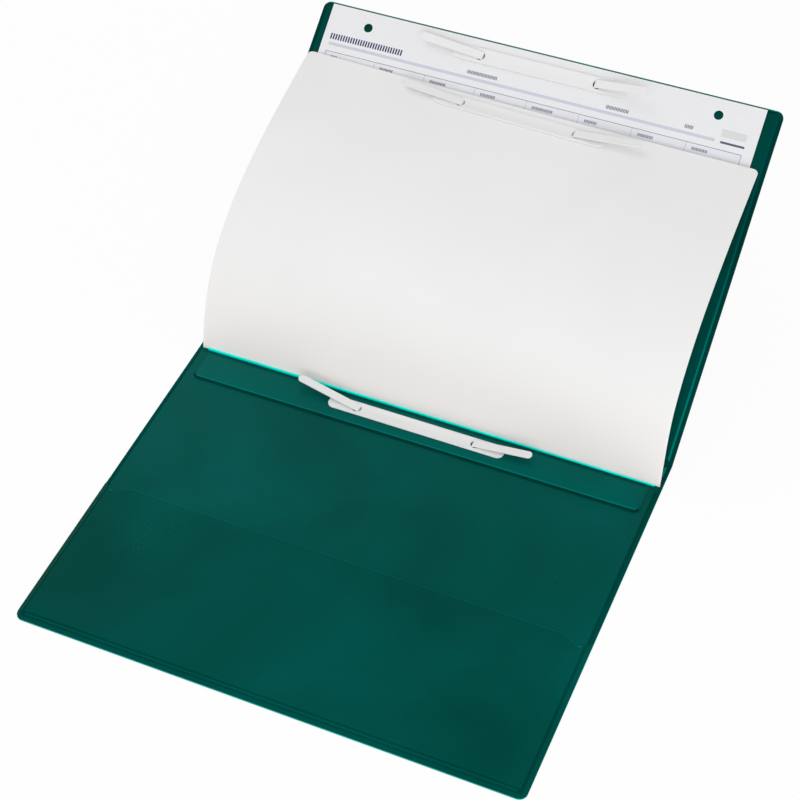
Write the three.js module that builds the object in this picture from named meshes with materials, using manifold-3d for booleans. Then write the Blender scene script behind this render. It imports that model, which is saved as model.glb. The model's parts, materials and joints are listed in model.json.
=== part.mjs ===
// Landscape A4 record folder, lying open on a table.
// Two stiff covers of board welded between plastic films are joined to a narrow spine by film hinges.
// The lower cover lies flat, and the upper cover stands up from the spine at a slant.
// Millimetres. X runs along the hinges, Y away from the reader, Z up.
// The origin is the middle of the lower cover's underside.

import * as THREE from 'three';
import { mergeVertices } from 'three/addons/utils/BufferGeometryUtils.js';
import Module from 'manifold-3d';

const wasm = await Module();
wasm.setup();

// Driving dimensions: covers and spine
const coverWidth = 315;
const coverDepth = 232.3; // hinge line to free edge
const coverCornerRadius = 5;
const hingePitch = 21; // distance between the two hinge lines
const openingAngle = 34.2; // slant of the upper cover, degrees
const filmThickness = 0.5;
const boardThickness = 1.6;
const weldRimWidth = 3; // flat welded rim outside the raised panel
const grooveHalfWidth = 2.8; // hinge line to a cover's raised panel
const spineGrooveHalfWidth = 3.1; // hinge line to the spine's raised panel
const foldRadius = 0.55; // round fold of the film along each hinge line
const foldClearance = 0.7; // hinge line to the films on either side of the fold
const layerGap = 0.15; // between layers that lie on each other

// Driving dimensions: pocket on the lower cover
const pocketFilmThickness = 0.4;
const pocketEdgeDistance = 123.2; // hinge line to the pocket's open edge
const pocketNotchDepth = 5.2;
const pocketNotchInset = 7; // cover's side edge to the notch's lowest point
const pocketNotchHalfWidth = 12;

// Driving dimensions: strip on the lower cover that carries its fastener
const stripFilmThickness = 0.4;
const stripLength = 299;
const stripOffsetX = 0.8;
const stripDepthLeft = 22.5;
const stripDepthRight = 21.2;
const stripHingeDistance = 3;
const stripCornerRadius = 3.5;
const stripRimWidth = 1.3;

// Driving dimensions: welded film edge along the leaf's foot
const beadWidth = 0.8;
const beadHingeDistance = 0.75; // hinge line to the bead, on the spine's side
const beadHeight = 1.9;
const beadLength = 303;
const beadOffsetX = 1;

// Driving dimensions: divider leaf
const leafThickness = 0.5;
const leafWidth = 309.2;
const leafFootX = -0.2; // middle of the foot
const leafTopX = -1; // middle of the free edge
const leafSetback = 37.1; // upper cover's free edge to the leaf's free edge, at its left end
const leafSkew = 4.2; // how much nearer to the reader the free edge's right end lies
const leafFootY = 1.95;
const leafFootAngle = 78.1; // degrees above the table
const leafFootPull = 71.1; // how far the foot's direction carries the curve
const leafLandingAngle = 24.1; // free edge against the upper cover, degrees
const leafTailPull = 124.4;
const leafCornerRadius = 5;

// Driving dimensions: form sheet
const sheetWidth = 297;
const sheetDepth = 210;
const sheetThickness = 0.2;
const sheetOffsetX = -1.5;
const sheetTopMargin = 1.9; // upper cover's free edge to the sheet
const punchMargin = 10.6; // sheet's top edge to the line of holes
const punchDiameter = 6;
const punchPitch = 80;

// Driving dimensions: filing fasteners
const barLength = 118;
const barWidth = 10;
const barThickness = 1.2;
const barCornerRadius = 4;
const tongueWidth = 5.4;
const tongueThickness = 0.7;
const riserWidth = 5;
const baseEndLength = 12; // base strip beyond each tongue
const baseWidth = 9;
const baseCornerRadius = 2;
const slotClearance = 0.3; // around a tongue where it comes through a welded film

// Where the three fasteners sit, and how their tongues are bent.
// reach runs from the hole to the tip, lift is the tip's height over the bar, swing turns the tip away from the reader.
const lowerFastener = {
  x: 1,
  distance: 12,
  left: { reach: 43.6, lift: 4.2, swing: 8.4 },
  right: { reach: 37, lift: 3.2, swing: 2.2 },
};
const upperFastener = {
  x: sheetOffsetX,
  distance: coverDepth - sheetTopMargin - punchMargin,
  left: { reach: 42.5, lift: 2.4, swing: 4 },
  right: { reach: 36.5, lift: 10.2, swing: 0.2 },
};
const leafFastener = {
  x: -2.7,
  edgeDistance: 12.9, // leaf's free edge, at its left end, to the line of holes
  skew: 1.6, // degrees, turns the right hole towards the reader
  left: { reach: 41.2, lift: 2, swing: 2.5 },
  right: { reach: 43.2, lift: 4.4, swing: 2.9 },
};

// Derived heights, from the outer face of a cover
const layerBase = filmThickness + layerGap;
const boardTop = layerBase + boardThickness;
const panelTop = boardTop + layerGap + filmThickness;
const flangeTop = layerBase + filmThickness;
const hingeHeight = flangeTop / 2;
const baseBottom = panelTop + layerGap; // on the lower cover's inner film
const baseTop = baseBottom + tongueThickness;
const upperBaseBottom = boardTop + layerGap; // under the upper cover's inner film
const ridgeTop = upperBaseBottom + tongueThickness + layerGap + filmThickness;
const sheetBottom = ridgeTop + layerGap;
const sheetTop = sheetBottom + sheetThickness;
const upperBarBottom = sheetTop + layerGap;
const stripTop = baseTop + layerGap + stripFilmThickness;
const lowerBarBottom = stripTop + layerGap;
const pocketTop = panelTop + layerGap + pocketFilmThickness;

const slant = THREE.MathUtils.degToRad(openingAngle);
const curveSegments = 6;

// Materials
function finish(color, roughness, metalness = 0) {
  return new THREE.MeshStandardMaterial({ color, roughness, metalness });
}
const greenFilm = finish('#00564a', 0.38);
const pocketFilm = finish('#00493d', 0.32);
const stripFilm = finish('#005a4e', 0.32);
const brightFilm = finish('#00d8c6', 0.3);
const greyBoard = finish('#8d8578', 0.95);
const leafFilm = finish('#ebebea', 0.45);
const paper = finish('#e7e8ee', 0.9);
const whitePlastic = finish('#ededee', 0.35);

// Solids
function toSolid(geometry) {
  const bare = geometry.clone();
  bare.deleteAttribute('normal');
  bare.deleteAttribute('uv');
  const merged = mergeVertices(bare, 1e-4);
  return new wasm.Manifold(
    new wasm.Mesh({
      numProp: 3,
      vertProperties: new Float32Array(merged.attributes.position.array),
      triVerts: new Uint32Array(merged.index.array),
    }),
  );
}

function toGeometry(solid) {
  const mesh = solid.getMesh();
  const geometry = new THREE.BufferGeometry();
  geometry.setAttribute('position', new THREE.BufferAttribute(mesh.vertProperties, 3));
  geometry.setIndex(new THREE.BufferAttribute(mesh.triVerts, 1));
  geometry.computeVertexNormals();
  return geometry;
}

// A closed outline whose corners [x, y, radius] are rounded by true arcs
function roundedShape(corners) {
  const shape = new THREE.Shape();
  corners.forEach(([x, y, radius], index) => {
    const corner = new THREE.Vector2(x, y);
    const before = corners.at(index - 1);
    const after = corners[(index + 1) % corners.length];
    const back = new THREE.Vector2(before[0] - x, before[1] - y).normalize();
    const ahead = new THREE.Vector2(after[0] - x, after[1] - y).normalize();
    const halfAngle = Math.acos(back.dot(ahead)) / 2;
    const start = corner.clone().addScaledVector(back, radius / Math.tan(halfAngle));
    const end = corner.clone().addScaledVector(ahead, radius / Math.tan(halfAngle));
    if (index === 0) shape.moveTo(start.x, start.y);
    else shape.lineTo(start.x, start.y);
    if (radius > 0) {
      const inward = back.clone().add(ahead).normalize();
      const centre = corner.clone().addScaledVector(inward, radius / Math.sin(halfAngle));
      const from = start.clone().sub(centre).angle();
      const to = end.clone().sub(centre).angle();
      shape.absarc(centre.x, centre.y, radius, from, to, back.cross(ahead) > 0);
    }
  });
  return shape;
}

function plate(shape, bottom, top) {
  const options = { depth: top - bottom, bevelEnabled: false, curveSegments };
  return new THREE.ExtrudeGeometry(shape, options).translate(0, 0, bottom);
}

// A rectangle between two distances from a hinge line, with its far corners rounded.
// side is +1 for what lies beyond the hinge and -1 for what lies before it.
function coverShape(side, inset, near, cornerRadius) {
  const halfWidth = coverWidth / 2 - inset;
  const far = coverDepth - inset;
  return roundedShape([
    [-halfWidth, side * near, 0],
    [halfWidth, side * near, 0],
    [halfWidth, side * far, cornerRadius],
    [-halfWidth, side * far, cornerRadius],
  ]);
}

function rectangle(halfWidth, nearY, farY) {
  return roundedShape([
    [-halfWidth, nearY, 0],
    [halfWidth, nearY, 0],
    [halfWidth, farY, 0],
    [-halfWidth, farY, 0],
  ]);
}

// A film with a flat rim, formed up over what it covers: a flange, and a raised panel that is hollow below
function formedFilm(rimShape, panelShape, hollowShape, bottom, top, thickness) {
  const below = 1;
  const flange = toSolid(plate(rimShape, bottom, bottom + thickness));
  const panel = toSolid(plate(panelShape, bottom, top));
  const hollow = toSolid(plate(hollowShape, bottom - below, top - thickness));
  return flange.add(panel).subtract(hollow);
}

// Covers
function coverOuterFilm(side) {
  return plate(coverShape(side, 0, foldClearance, coverCornerRadius), 0, filmThickness);
}

function coverBoard(side) {
  const wall = filmThickness + layerGap;
  const shape = coverShape(side, weldRimWidth + wall, grooveHalfWidth + wall, coverCornerRadius - 1);
  return plate(shape, layerBase, boardTop);
}

function coverInnerFilm(side) {
  const rim = coverShape(side, 0, foldClearance, coverCornerRadius);
  const panel = coverShape(side, weldRimWidth, grooveHalfWidth, coverCornerRadius - 1);
  const hollowNear = grooveHalfWidth + filmThickness;
  const hollow = coverShape(side, weldRimWidth + filmThickness, hollowNear, coverCornerRadius - 1);
  return formedFilm(rim, panel, hollow, layerBase, panelTop, filmThickness);
}

// The upper cover's inner film runs over the fastener's base strip, as a low ridge with a slot for each tongue
function upperInnerFilm() {
  const { x, distance } = upperFastener;
  const ridge = plate(baseShape(layerGap + filmThickness), panelTop - filmThickness, ridgeTop);
  const hollow = plate(baseShape(layerGap), layerBase, ridgeTop - filmThickness);
  const film = coverInnerFilm(1)
    .add(toSolid(ridge.translate(x, distance, 0)))
    .subtract(toSolid(hollow.translate(x, distance, 0)));
  return toGeometry(withSlots(film, x, distance));
}

// Spine
function spineOuterFilm() {
  const film = toSolid(plate(rectangle(coverWidth / 2, 0, hingePitch), 0, filmThickness));
  const folds = [0, hingePitch].map((y) => {
    const fold = new THREE.CylinderGeometry(foldRadius, foldRadius, coverWidth, 16);
    return toSolid(fold.rotateZ(Math.PI / 2).translate(0, y, hingeHeight));
  });
  return toGeometry(folds.reduce((solid, fold) => solid.add(fold), film));
}

function spineBoard() {
  const wall = filmThickness + layerGap;
  const near = spineGrooveHalfWidth + wall;
  const shape = rectangle(coverWidth / 2 - weldRimWidth - wall, near, hingePitch - near);
  return plate(shape, layerBase, boardTop);
}

function spineInnerFilm() {
  const half = coverWidth / 2;
  const near = spineGrooveHalfWidth;
  const rim = rectangle(half, foldClearance, hingePitch - foldClearance);
  const panel = rectangle(half - weldRimWidth, near, hingePitch - near);
  const hollowNear = near + filmThickness;
  const hollow = rectangle(half - weldRimWidth - filmThickness, hollowNear, hingePitch - hollowNear);
  return toGeometry(formedFilm(rim, panel, hollow, layerBase, panelTop, filmThickness));
}

// Pocket: a film over the lower cover's front half, welded on three sides.
// Its open edge is straight, with a notch near each end.
function pocketCutShape() {
  const half = coverWidth / 2;
  const valleyX = half - pocketNotchInset;
  const straightX = valleyX - pocketNotchHalfWidth;
  const edgeY = -pocketEdgeDistance;
  const valleyY = edgeY - pocketNotchDepth;
  const bottomY = -coverDepth - 1;
  const shape = new THREE.Shape();
  shape.moveTo(-half - 1, bottomY);
  shape.lineTo(half + 1, bottomY);
  shape.lineTo(half + 1, edgeY);
  shape.bezierCurveTo(half - 3, edgeY, half - 3, valleyY, valleyX, valleyY);
  shape.bezierCurveTo(valleyX - 5, valleyY, straightX + 6, edgeY, straightX, edgeY);
  shape.lineTo(-straightX, edgeY);
  shape.bezierCurveTo(-straightX - 6, edgeY, -valleyX + 5, valleyY, -valleyX, valleyY);
  shape.bezierCurveTo(-half + 3, valleyY, -half + 3, edgeY, -half - 1, edgeY);
  return shape;
}

function pocket() {
  const near = foldClearance;
  const rim = coverShape(-1, 0, near, coverCornerRadius);
  const panelInset = weldRimWidth - layerGap - pocketFilmThickness;
  const panel = coverShape(-1, panelInset, near, coverCornerRadius - 1);
  const hollow = coverShape(-1, weldRimWidth - layerGap, near - 1, coverCornerRadius - 1);
  const bottom = flangeTop + layerGap;
  const film = formedFilm(rim, panel, hollow, bottom, pocketTop, pocketFilmThickness);
  const cut = toSolid(plate(pocketCutShape(), bottom - 1, pocketTop + 1));
  return toGeometry(film.intersect(cut));
}

// Strip that holds the lower fastener: its front edge runs at a slight slant
function stripShape(inset) {
  const left = stripOffsetX - stripLength / 2 + inset;
  const right = stripOffsetX + stripLength / 2 - inset;
  const back = -stripHingeDistance - inset;
  return roundedShape([
    [left, back, 1],
    [left, -stripHingeDistance - stripDepthLeft + inset, stripCornerRadius],
    [right, -stripHingeDistance - stripDepthRight + inset, stripCornerRadius],
    [right, back, 1],
  ]);
}

function filingStrip() {
  const hollowInset = stripRimWidth + stripFilmThickness;
  const film = formedFilm(
    stripShape(0),
    stripShape(stripRimWidth),
    stripShape(hollowInset),
    panelTop + layerGap,
    stripTop,
    stripFilmThickness,
  );
  return toGeometry(withSlots(film, lowerFastener.x, -lowerFastener.distance));
}

function weldBead() {
  const shape = rectangle(beadLength / 2, beadHingeDistance, beadHingeDistance + beadWidth);
  return plate(shape, flangeTop + layerGap, flangeTop + layerGap + beadHeight).translate(beadOffsetX, 0, 0);
}

// A round punch standing on the XY plane, taller than anything that it goes through
function punchHole(x, y) {
  const height = 40;
  const cylinder = new THREE.CylinderGeometry(punchDiameter / 2, punchDiameter / 2, height, 24);
  return toSolid(cylinder.rotateX(Math.PI / 2).translate(x, y, 0));
}

// Form sheet: A4, four punched holes along its top edge
function formSheet() {
  const top = coverDepth - sheetTopMargin;
  const shape = rectangle(sheetWidth / 2, top - sheetDepth, top);
  const sheet = toSolid(plate(shape, sheetBottom, sheetTop));
  const holeY = top - punchMargin;
  const places = [-1.5, -0.5, 0.5, 1.5];
  const punched = places.reduce((solid, place) => solid.subtract(punchHole(place * punchPitch, holeY)), sheet);
  return toGeometry(punched).translate(sheetOffsetX, 0, 0);
}

// The outline of a fastener's base strip, grown by a margin all round
function baseShape(grow) {
  const half = punchPitch / 2 + baseEndLength + grow;
  const halfWidth = baseWidth / 2 + grow;
  const radius = baseCornerRadius + grow;
  return roundedShape([
    [-half, -halfWidth, radius],
    [half, -halfWidth, radius],
    [half, halfWidth, radius],
    [-half, halfWidth, radius],
  ]);
}

// A film with the two narrow slots that a fastener's tongues come through
function withSlots(film, x, y) {
  return [-1, 1].reduce((solid, end) => {
    const slot = new THREE.BoxGeometry(tongueThickness + 2 * slotClearance, riserWidth + 2 * slotClearance, 40);
    return solid.subtract(toSolid(slot.translate(x + (end * punchPitch) / 2, y, 0)));
  }, film);
}

// Filing fastener, in its own frame: origin between its two holes, on the face that the base strip lies on.
// barBottom is the height of the bar's underside over that face.
function tongue(end, bend, barTop) {
  const start = barTop + layerGap;
  const tip = tongueWidth / 2;
  const strip = roundedShape([
    [-tongueThickness / 2, -tongueWidth / 2, 0],
    [bend.reach, -tongueWidth / 2, tip - 0.1],
    [bend.reach, tongueWidth / 2, tip - 0.1],
    [-tongueThickness / 2, tongueWidth / 2, 0],
  ]);
  const rise = Math.asin(bend.lift / bend.reach);
  const swing = THREE.MathUtils.degToRad(bend.swing);
  const flap = plate(strip, 0, tongueThickness).rotateY(-rise).rotateZ(swing);
  if (end < 0) flap.rotateZ(Math.PI - 2 * swing);
  return toSolid(flap.translate((end * punchPitch) / 2, 0, start));
}

function tongueStrip(fastener, barBottom) {
  const barTop = barBottom + barThickness;
  let solid = toSolid(plate(baseShape(0), 0, tongueThickness));
  for (const [end, bend] of [[-1, fastener.left], [1, fastener.right]]) {
    const height = barTop + layerGap + tongueThickness;
    const riser = new THREE.BoxGeometry(tongueThickness, riserWidth, height);
    riser.translate((end * punchPitch) / 2, 0, height / 2);
    solid = solid.add(toSolid(riser)).add(tongue(end, bend, barTop));
  }
  return toGeometry(solid);
}

function coverBar(barBottom) {
  const half = barLength / 2;
  const shape = roundedShape([
    [-half, -barWidth / 2, barCornerRadius],
    [half, -barWidth / 2, barCornerRadius],
    [half, barWidth / 2, barCornerRadius],
    [-half, barWidth / 2, barCornerRadius],
  ]);
  const bar = toSolid(plate(shape, barBottom, barBottom + barThickness));
  const holes = [-1, 1].map((end) => punchHole((end * punchPitch) / 2, 0));
  return toGeometry(holes.reduce((solid, hole) => solid.subtract(hole), bar));
}

// Divider leaf: springs up from the hinge and lies back on the form sheet.
// Its side view is one curve, from the foot in the groove to the free edge on the upper cover.
function onUpperCover(along, height) {
  const rise = height - hingeHeight;
  return new THREE.Vector2(
    hingePitch + along * Math.cos(slant) - rise * Math.sin(slant),
    hingeHeight + along * Math.sin(slant) + rise * Math.cos(slant),
  );
}

const leafLift = layerGap + leafThickness / 2;
const leafFoot = new THREE.Vector2(leafFootY, flangeTop + 2 * layerGap);
const leafEnd = onUpperCover(coverDepth - leafSetback, sheetTop + leafLift);
const footDirection = THREE.MathUtils.degToRad(leafFootAngle);
const tailDirection = slant - THREE.MathUtils.degToRad(leafLandingAngle);
const leafCurve = new THREE.CubicBezierCurve(
  leafFoot,
  new THREE.Vector2(Math.cos(footDirection), Math.sin(footDirection)).multiplyScalar(leafFootPull).add(leafFoot),
  new THREE.Vector2(Math.cos(tailDirection), Math.sin(tailDirection)).multiplyScalar(-leafTailPull).add(leafEnd),
  leafEnd,
);
const leafSteps = 48;
const leafFastenerSkew = THREE.MathUtils.degToRad(leafFastener.skew);

function divider() {
  const half = leafThickness / 2;
  const front = [];
  const back = [];
  for (let step = 0; step <= leafSteps; step += 1) {
    const share = step / leafSteps;
    const point = leafCurve.getPoint(share);
    const along = leafCurve.getTangent(share);
    front.push(new THREE.Vector2(point.x - along.y * half, point.y + along.x * half));
    back.push(new THREE.Vector2(point.x + along.y * half, point.y - along.x * half));
  }
  const side = new THREE.Shape([...front, ...back.reverse()]);
  const margin = 10;
  const length = leafWidth + 2 * margin;
  const swept = new THREE.ExtrudeGeometry(side, { depth: length, bevelEnabled: false });
  // The side view lies in XY: X becomes the world's Y, Y becomes Z, and the sweep runs along X
  const toWorld = new THREE.Matrix4().makeBasis(
    new THREE.Vector3(0, 1, 0),
    new THREE.Vector3(0, 0, 1),
    new THREE.Vector3(1, 0, 0),
  );
  swept.applyMatrix4(toWorld).translate(-length / 2, 0, 0);
  const halfWidth = leafWidth / 2;
  const footY = leafFoot.x - margin;
  const endY = leafEnd.x;
  const outline = roundedShape([
    [leafFootX - halfWidth, footY, 0],
    [leafFootX + halfWidth, footY, 0],
    [leafTopX + halfWidth, endY - leafSkew, leafCornerRadius],
    [leafTopX - halfWidth, endY, leafCornerRadius],
  ]);
  const cut = toSolid(plate(outline, -margin, coverDepth));
  const place = leafFastenerPlace();
  const holes = [-1, 1].map((end) => {
    const cylinder = new THREE.CylinderGeometry(punchDiameter / 2, punchDiameter / 2, 4, 24);
    cylinder.rotateX(Math.PI / 2).translate((end * punchPitch) / 2, 0, 0).rotateZ(-leafFastenerSkew);
    return toSolid(cylinder.rotateX(place.turn).translate(leafFastener.x, place.y, place.z));
  });
  const sheet = toSolid(swept).intersect(cut);
  return toGeometry(holes.reduce((solid, hole) => solid.subtract(hole), sheet));
}

// The point of the leaf's curve at the fastener's distance from the free edge, and its slope there
function leafFastenerPlace() {
  const share = 1 - leafFastener.edgeDistance / (3 * leafTailPull);
  const point = leafCurve.getPoint(share);
  const along = leafCurve.getTangent(share);
  return { y: point.x, z: point.y, turn: Math.atan2(along.y, along.x) };
}

// Assembly
function piece(name, geometry, material) {
  const mesh = new THREE.Mesh(geometry, material);
  mesh.name = name;
  return mesh;
}

function placed(children, x, y, z, turn = 0) {
  const group = new THREE.Group();
  group.position.set(x, y, z);
  group.rotation.x = turn;
  group.add(...children);
  return group;
}

function fastenerPieces(name, fastener, barBottom) {
  return [
    piece(`${name}_fastener_strip`, tongueStrip(fastener, barBottom), whitePlastic),
    piece(`${name}_fastener_bar`, coverBar(barBottom), whitePlastic),
  ];
}

const lowerCover = placed(
  [
    piece('lower_outer_film', coverOuterFilm(-1), greenFilm),
    piece('lower_board', coverBoard(-1), greyBoard),
    piece('lower_inner_film', toGeometry(coverInnerFilm(-1)), greenFilm),
    piece('pocket_film', pocket(), pocketFilm),
    piece('filing_strip_film', filingStrip(), stripFilm),
    placed(
      fastenerPieces('lower', lowerFastener, lowerBarBottom - baseBottom),
      lowerFastener.x,
      -lowerFastener.distance,
      baseBottom,
    ),
  ],
  0,
  0,
  0,
);

const spine = placed(
  [
    piece('spine_outer_film', spineOuterFilm(), greenFilm),
    piece('spine_board', spineBoard(), greyBoard),
    piece('spine_inner_film', spineInnerFilm(), greenFilm),
    piece('leaf_weld_bead', weldBead(), brightFilm),
  ],
  0,
  0,
  0,
);

// The upper cover turns about the rear hinge line, which lies half way up the welded films
const upperCover = placed(
  [
    placed(
      [
        piece('upper_outer_film', coverOuterFilm(1), greenFilm),
        piece('upper_board', coverBoard(1), greyBoard),
        piece('upper_inner_film', upperInnerFilm(), greenFilm),
        piece('form_sheet', formSheet(), paper),
        placed(
          fastenerPieces('upper', upperFastener, upperBarBottom - upperBaseBottom),
          upperFastener.x,
          upperFastener.distance,
          upperBaseBottom,
        ),
      ],
      0,
      0,
      -hingeHeight,
    ),
  ],
  0,
  hingePitch,
  hingeHeight,
  slant,
);

// The leaf's fastener has its base strip under the leaf and its bar on top
const leafPlace = leafFastenerPlace();
const leafBaseDrop = leafThickness / 2 + layerGap + tongueThickness;
const leafBarBottom = leafBaseDrop + leafThickness / 2 + layerGap;
const leafFastenerPieces = placed(
  fastenerPieces('leaf', leafFastener, leafBarBottom),
  leafFastener.x,
  0,
  -leafBaseDrop,
);
leafFastenerPieces.rotation.z = -leafFastenerSkew;
const leafAssembly = placed(
  [
    piece('divider_leaf', divider(), leafFilm),
    placed(
      [leafFastenerPieces],
      0,
      leafPlace.y,
      leafPlace.z,
      leafPlace.turn,
    ),
  ],
  0,
  0,
  0,
);

const folder = new THREE.Group();
folder.add(lowerCover, spine, upperCover, leafAssembly);
folder.position.y = coverDepth / 2;

export default folder;
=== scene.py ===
import json
import math

import bmesh
import bpy
from mathutils import Matrix, Vector


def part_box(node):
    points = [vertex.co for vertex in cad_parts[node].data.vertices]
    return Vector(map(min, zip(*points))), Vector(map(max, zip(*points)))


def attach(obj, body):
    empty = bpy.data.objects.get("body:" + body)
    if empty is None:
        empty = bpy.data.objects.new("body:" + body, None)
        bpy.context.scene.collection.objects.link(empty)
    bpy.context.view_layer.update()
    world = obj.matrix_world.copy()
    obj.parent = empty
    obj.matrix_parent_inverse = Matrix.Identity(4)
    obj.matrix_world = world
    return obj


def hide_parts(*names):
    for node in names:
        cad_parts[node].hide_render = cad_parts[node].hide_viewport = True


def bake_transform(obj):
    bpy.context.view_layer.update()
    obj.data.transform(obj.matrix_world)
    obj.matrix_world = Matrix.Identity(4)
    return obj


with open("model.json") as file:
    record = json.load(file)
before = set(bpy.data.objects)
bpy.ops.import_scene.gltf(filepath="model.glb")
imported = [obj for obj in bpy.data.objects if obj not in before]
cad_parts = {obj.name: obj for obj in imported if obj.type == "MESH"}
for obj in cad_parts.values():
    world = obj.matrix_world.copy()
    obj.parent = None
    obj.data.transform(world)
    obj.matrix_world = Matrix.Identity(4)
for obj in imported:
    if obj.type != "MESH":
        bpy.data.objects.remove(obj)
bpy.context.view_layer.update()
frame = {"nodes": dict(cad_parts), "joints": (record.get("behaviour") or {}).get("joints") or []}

# The room: a plain white floor and a soft, even studio light with a large lamp high on the left.
# The camera looks down on the open folder from the reader's right.
MM = 0.001
CAMERA_PLACE_MM = (326.9, -632.8, 912.8)
CAMERA_AZIMUTH = math.radians(-24.511)
CAMERA_ELEVATION = math.radians(47.62)
CAMERA_ROLL = math.radians(-1.629)
CAMERA_LENS = 87.8
SENSOR_WIDTH = 36

look = Vector((
    math.sin(CAMERA_AZIMUTH) * math.cos(CAMERA_ELEVATION),
    math.cos(CAMERA_AZIMUTH) * math.cos(CAMERA_ELEVATION),
    -math.sin(CAMERA_ELEVATION),
))
level_right = look.cross(Vector((0, 0, 1))).normalized()
level_up = level_right.cross(look)
camera_right = math.cos(CAMERA_ROLL) * level_right + math.sin(CAMERA_ROLL) * level_up
camera_up = math.cos(CAMERA_ROLL) * level_up - math.sin(CAMERA_ROLL) * level_right
bpy.ops.object.camera_add()
camera = bpy.context.object
camera.matrix_world = Matrix.Translation(Vector(CAMERA_PLACE_MM) * MM) @ Matrix(
    (camera_right, camera_up, -look)
).transposed().to_4x4()
camera.data.lens = CAMERA_LENS
camera.data.sensor_width = SENSOR_WIDTH
bpy.context.scene.camera = camera
bpy.context.scene.view_settings.view_transform = "Standard"

FLOOR_SIZE = 8
FLOOR_DROP = 0.05 * MM
bpy.ops.mesh.primitive_plane_add(size=FLOOR_SIZE, location=(0, 0, -FLOOR_DROP))
floor = bpy.context.object
floor.name = "studio_floor"


def white_where_seen(tree, plain):
    """A shader that is white to the camera, in reflections and through clear things, else plain."""
    rays = tree.nodes.new("ShaderNodeLightPath")
    either = tree.nodes.new("ShaderNodeMath")
    either.operation = "MAXIMUM"
    any_of_three = tree.nodes.new("ShaderNodeMath")
    any_of_three.operation = "MAXIMUM"
    kind = "Background" if plain.type == "BACKGROUND" else "Emission"
    white = tree.nodes.new("ShaderNode" + kind)
    white.inputs["Color"].default_value = (1, 1, 1, 1)
    white.inputs["Strength"].default_value = 1
    mix = tree.nodes.new("ShaderNodeMixShader")
    tree.links.new(rays.outputs["Is Camera Ray"], either.inputs[0])
    tree.links.new(rays.outputs["Is Glossy Ray"], either.inputs[1])
    tree.links.new(either.outputs[0], any_of_three.inputs[0])
    tree.links.new(rays.outputs["Is Transmission Ray"], any_of_three.inputs[1])
    tree.links.new(any_of_three.outputs[0], mix.inputs[0])
    tree.links.new(plain.outputs[0], mix.inputs[1])
    tree.links.new(white.outputs[0], mix.inputs[2])
    return mix


WORLD_LEVEL = 0.58
world = bpy.data.worlds.new("studio")
world.use_nodes = True
bpy.context.scene.world = world
sky = world.node_tree.nodes["Background"]
sky.inputs["Color"].default_value = (1, 1, 1, 1)
sky.inputs["Strength"].default_value = WORLD_LEVEL
seen_sky = white_where_seen(world.node_tree, sky)
world_output = world.node_tree.nodes["World Output"]
world.node_tree.links.new(seen_sky.outputs[0], world_output.inputs["Surface"])

FLOOR_COLOUR = (0.92, 0.92, 0.92, 1)
FLOOR_WHITE = 0.94
floor_finish = bpy.data.materials.new("studio_white")
floor_finish.use_nodes = True
floor_tree = floor_finish.node_tree
floor_shader = floor_tree.nodes["Principled BSDF"]
floor_shader.inputs["Base Color"].default_value = FLOOR_COLOUR
floor_shader.inputs["Roughness"].default_value = 1
floor_shader.inputs["Specular IOR Level"].default_value = 0
seen_floor = white_where_seen(floor_tree, floor_shader)
# The floor shows its own shading a little, so that the folder keeps its shadow
part_white = floor_tree.nodes.new("ShaderNodeMixShader")
part_white.inputs[0].default_value = FLOOR_WHITE
floor_tree.links.new(floor_shader.outputs[0], part_white.inputs[1])
floor_tree.links.new(seen_floor.outputs[0], part_white.inputs[2])
floor_tree.links.new(part_white.outputs[0], floor_tree.nodes["Material Output"].inputs["Surface"])
floor.data.materials.append(floor_finish)

LAMPS = {
    "window_lamp": {"place": (-1.2, 0.5, 1.9), "size": 1.6, "power": 8},
    "front_lamp": {"place": (0.9, -1.6, 1.6), "size": 1.8, "power": 4},
    "low_lamp": {"place": (0.6, -1.95, 1.0), "size": 1.8, "power": 22},
    "side_lamp": {"place": (1.9, -0.2, 0.6), "size": 0.5, "power": 2},
}
for lamp_name, lamp in LAMPS.items():
    bpy.ops.object.light_add(type="AREA", location=lamp["place"])
    light = bpy.context.object
    light.name = lamp_name
    light.data.size = lamp["size"]
    light.data.energy = lamp["power"]
    light.rotation_euler = (-Vector(lamp["place"])).to_track_quat("-Z", "Y").to_euler()

# The covers' skins: green vinyl film, flat on the outside and formed up over a stiff board inside.
# Each is an outer and an inner film welded along a flat rim, with the board sealed between them.
# It runs on over the hinge groove to the middle of the spine in one piece; the upper skin is bent there
# to the upper cover's slant.
joints = {joint["name"]: joint for joint in frame["joints"]}
front_hinge = Vector(joints["spine_hinge"]["pos_m"])
rear_hinge = Vector(joints["upper_hinge"]["pos_m"])
slant = math.radians(-joints["upper_hinge"]["range_deg"][0])
hinge_pitch = rear_hinge.y - front_hinge.y
cover_width = 2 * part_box("lower_outer_film")[1].x
cover_depth = front_hinge.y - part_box("lower_outer_film")[0].y
panel_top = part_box("lower_inner_film")[1].z
flange_top = 2 * front_hinge.z
COVER_CORNER = 5 * MM
PANEL_CORNER = 4 * MM
RIM_WIDTH = 3 * MM
GROOVE_HALF = 2.8 * MM
SPINE_GROOVE_HALF = 3.1 * MM
EDGE_WIDTH = 0.8 * MM
FOLD_HALF = 2.4 * MM
FOLD_CUTS = 9
PANEL_ROUNDING = 0.9 * MM
PANEL_FOOT_ROUNDING = 0.5 * MM
EDGE_ROUNDING = 0.22 * MM
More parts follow.
